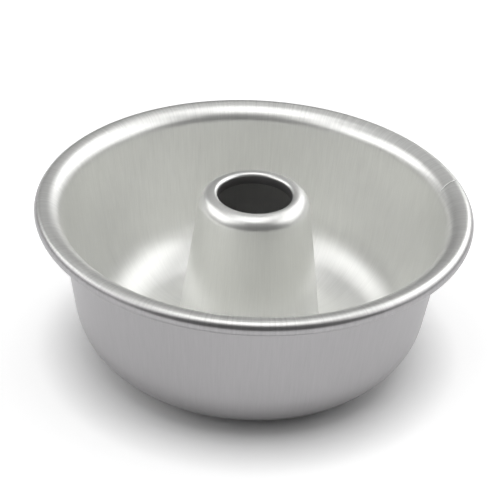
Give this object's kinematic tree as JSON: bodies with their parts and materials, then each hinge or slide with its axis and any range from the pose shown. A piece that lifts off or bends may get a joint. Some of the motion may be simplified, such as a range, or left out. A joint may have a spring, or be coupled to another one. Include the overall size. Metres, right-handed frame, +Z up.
{
  "type": "angel food cake pan",
  "caption": "Round cake pan of satin aluminium sheet with a rolled rim, rounded knuckle and fixed conical centre tube, for baking ring-shaped sponge cakes.",
  "frame": {"origin": "centre of the flat floor that the pan stands on, at table level", "axes": "+Z up along the pan's axis, X and Y free because the pan is round"},
  "size_m": [0.1708, 0.1708, 0.0711],
  "materials": {
    "bowl_aluminium": "satin anodised, with fine drawing lines up the wall",
    "tube_aluminium": "satin anodised, with fine drawing lines up the cone"
  },
  "bodies": {
    "root": {"pan_bowl": "bowl_aluminium", "centre_tube": "tube_aluminium"}
  },
  "joints": []
}
